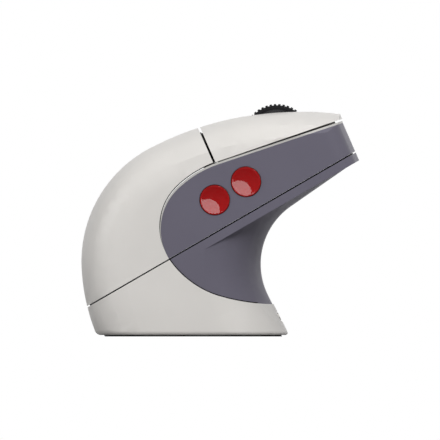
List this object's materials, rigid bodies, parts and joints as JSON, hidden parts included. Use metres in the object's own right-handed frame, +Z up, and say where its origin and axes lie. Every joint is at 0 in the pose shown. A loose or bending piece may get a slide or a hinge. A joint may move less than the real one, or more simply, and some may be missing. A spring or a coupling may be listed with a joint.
{
  "type": "gaming mouse",
  "caption": "Ergonomic gaming mouse with a hooked white shell, slate side panels, an overhanging nose, click buttons, a ribbed scroll wheel and round dished thumb buttons.",
  "frame": {"origin": "middle of the bounding box at the bottom of the skates", "axes": "+X to the front, where the nose overhangs; +Y to the mouse's left; +Z up"},
  "size_m": [0.1111, 0.062, 0.093],
  "materials": {
    "white_shell": "fine satin moulded finish, warm light grey-white",
    "slate_panel": "fine matt purple-grey moulded finish",
    "grey_frame": "satin light grey",
    "red_cap": "polished red, dished",
    "wheel_rubber": "matt black, cross-ribbed",
    "black_plastic": "fine matt black",
    "plunger_plastic": "natural moulded plastic",
    "glide_plastic": "low-friction waxy plastic, dark grey",
    "steel": "drawn steel",
    "circuit_board": "green solder mask over copper",
    "ribbon_cable": "amber flexible film",
    "battery_wrap": "silver laminate pouch",
    "clear_lens": "clear moulded optic",
    "foam": "black foam strip"
  },
  "bodies": {
    "housing": {"upper_case": "white_shell", "lower_case": "white_shell", "head_cover": "slate_panel", "neck_cover": "slate_panel", "inner_frame": "grey_frame", "bottom_plate": "black_plastic", "left_switch": "black_plastic", "right_switch": "black_plastic", "middle_switch": "black_plastic", "left_rear_side_switch": "black_plastic", "left_front_side_switch": "black_plastic", "right_rear_side_switch": "black_plastic", "right_front_side_switch": "black_plastic", "power_switch": "black_plastic", "mode_switch": "black_plastic", "motion_sensor": "black_plastic", "controller_chip": "black_plastic", "front_skate": "glide_plastic", "rear_skate": "glide_plastic", "button_pivot_pin": "steel", "carrier_pin": "steel", "case_screws": "steel", "usb_socket": "steel", "switch_board": "circuit_board", "main_board": "circuit_board", "left_side_board": "circuit_board", "right_side_board": "circuit_board", "flex_cable": "ribbon_cable", "battery": "battery_wrap", "sensor_lens": "clear_lens", "slit_seal": "foam"},
    "left_click": {"left_button": "white_shell"},
    "right_click": {"right_button": "white_shell"},
    "left_contact": {"left_plunger": "plunger_plastic"},
    "right_contact": {"right_plunger": "plunger_plastic"},
    "middle_contact": {"middle_plunger": "plunger_plastic"},
    "wheel_mount": {"wheel_carrier": "black_plastic", "wheel_encoder": "black_plastic"},
    "wheel": {"wheel_tyre": "wheel_rubber", "wheel_hub": "black_plastic", "wheel_axle": "steel"},
    "left_rear_thumb": {"left_rear_side_button": "red_cap"},
    "left_front_thumb": {"left_front_side_button": "red_cap"},
    "right_rear_thumb": {"right_rear_side_button": "red_cap"},
    "right_front_thumb": {"right_front_side_button": "red_cap"},
    "power_knob": {"power_slider": "black_plastic"},
    "mode_key": {"mode_button": "black_plastic"},
    "left_rear_switch_nub": {"left_rear_side_plunger": "plunger_plastic"},
    "left_front_switch_nub": {"left_front_side_plunger": "plunger_plastic"},
    "right_rear_switch_nub": {"right_rear_side_plunger": "plunger_plastic"},
    "right_front_switch_nub": {"right_front_side_plunger": "plunger_plastic"}
  },
  "joints": [
    {"name": "left_click_hinge", "type": "hinge", "parent": "housing", "child": "left_click", "pos_m": [-0.001, 0.01545, 0.077], "axis": [0, 1, 0], "range_deg": [0, 0.88], "stiffness_Nm_per_rad": 0.6, "springref_deg": -0.29},
    {"name": "left_contact_slide", "type": "slide", "parent": "housing", "child": "left_contact", "axis": [0.3156, 0, -0.9489], "range_m": [0, 0.0005]},
    {"name": "right_click_hinge", "type": "hinge", "parent": "housing", "child": "right_click", "pos_m": [-0.001, -0.01545, 0.077], "axis": [0, 1, 0], "range_deg": [0, 0.88], "stiffness_Nm_per_rad": 0.6, "springref_deg": -0.29},
    {"name": "right_contact_slide", "type": "slide", "parent": "housing", "child": "right_contact", "axis": [0.3156, 0, -0.9489], "range_m": [0, 0.0005]},
    {"name": "wheel_press_hinge", "type": "hinge", "parent": "housing", "child": "wheel_mount", "pos_m": [0.03808, 0, 0.08417], "axis": [0, -1, 0], "range_deg": [0, 0.68], "stiffness_Nm_per_rad": 1.2, "springref_deg": -0.34},
    {"name": "middle_contact_slide", "type": "slide", "parent": "housing", "child": "middle_contact", "axis": [0.3156, 0, -0.9489], "range_m": [0, 0.0005]},
    {"name": "wheel_spin", "type": "hinge", "parent": "wheel_mount", "child": "wheel", "pos_m": [0.0228, 0, 0.0794], "axis": [0, 1, 0], "continuous": true},
    {"name": "left_rear_thumb_slide", "type": "slide", "parent": "housing", "child": "left_rear_thumb", "axis": [0, -1, 0], "range_m": [0, 0.0004], "stiffness_N_per_m": 400, "springref_m": -0.001},
    {"name": "left_rear_nub_slide", "type": "slide", "parent": "housing", "child": "left_rear_switch_nub", "axis": [0, -1, 0], "range_m": [0, 0.0005]},
    {"name": "left_front_thumb_slide", "type": "slide", "parent": "housing", "child": "left_front_thumb", "axis": [0, -1, 0], "range_m": [0, 0.0004], "stiffness_N_per_m": 400, "springref_m": -0.001},
    {"name": "left_front_nub_slide", "type": "slide", "parent": "housing", "child": "left_front_switch_nub", "axis": [0, -1, 0], "range_m": [0, 0.0005]},
    {"name": "right_rear_thumb_slide", "type": "slide", "parent": "housing", "child": "right_rear_thumb", "axis": [0, 1, 0], "range_m": [0, 0.0004], "stiffness_N_per_m": 400, "springref_m": -0.001},
    {"name": "right_rear_nub_slide", "type": "slide", "parent": "housing", "child": "right_rear_switch_nub", "axis": [0, 1, 0], "range_m": [0, 0.0005]},
    {"name": "right_front_thumb_slide", "type": "slide", "parent": "housing", "child": "right_front_thumb", "axis": [0, 1, 0], "range_m": [0, 0.0004], "stiffness_N_per_m": 400, "springref_m": -0.001},
    {"name": "right_front_nub_slide", "type": "slide", "parent": "housing", "child": "right_front_switch_nub", "axis": [0, 1, 0], "range_m": [0, 0.0005]},
    {"name": "power_slide", "type": "slide", "parent": "housing", "child": "power_knob", "axis": [1, 0, 0], "range_m": [0, 0.0025]},
    {"name": "mode_slide", "type": "slide", "parent": "housing", "child": "mode_key", "axis": [0, 0, 1], "range_m": [0, 0.0004], "stiffness_N_per_m": 400, "springref_m": -0.001}
  ],
  "couplings": [
    {"joint": "left_contact_slide", "follows": "left_click_hinge", "m_per_rad": 0.0195},
    {"joint": "right_contact_slide", "follows": "right_click_hinge", "m_per_rad": 0.0195},
    {"joint": "middle_contact_slide", "follows": "wheel_press_hinge", "m_per_rad": 0.0268},
    {"joint": "left_rear_nub_slide", "follows": "left_rear_thumb_slide", "ratio": 0.8},
    {"joint": "left_front_nub_slide", "follows": "left_front_thumb_slide", "ratio": 0.8},
    {"joint": "right_rear_nub_slide", "follows": "right_rear_thumb_slide", "ratio": 0.8},
    {"joint": "right_front_nub_slide", "follows": "right_front_thumb_slide", "ratio": 0.8}
  ]
}
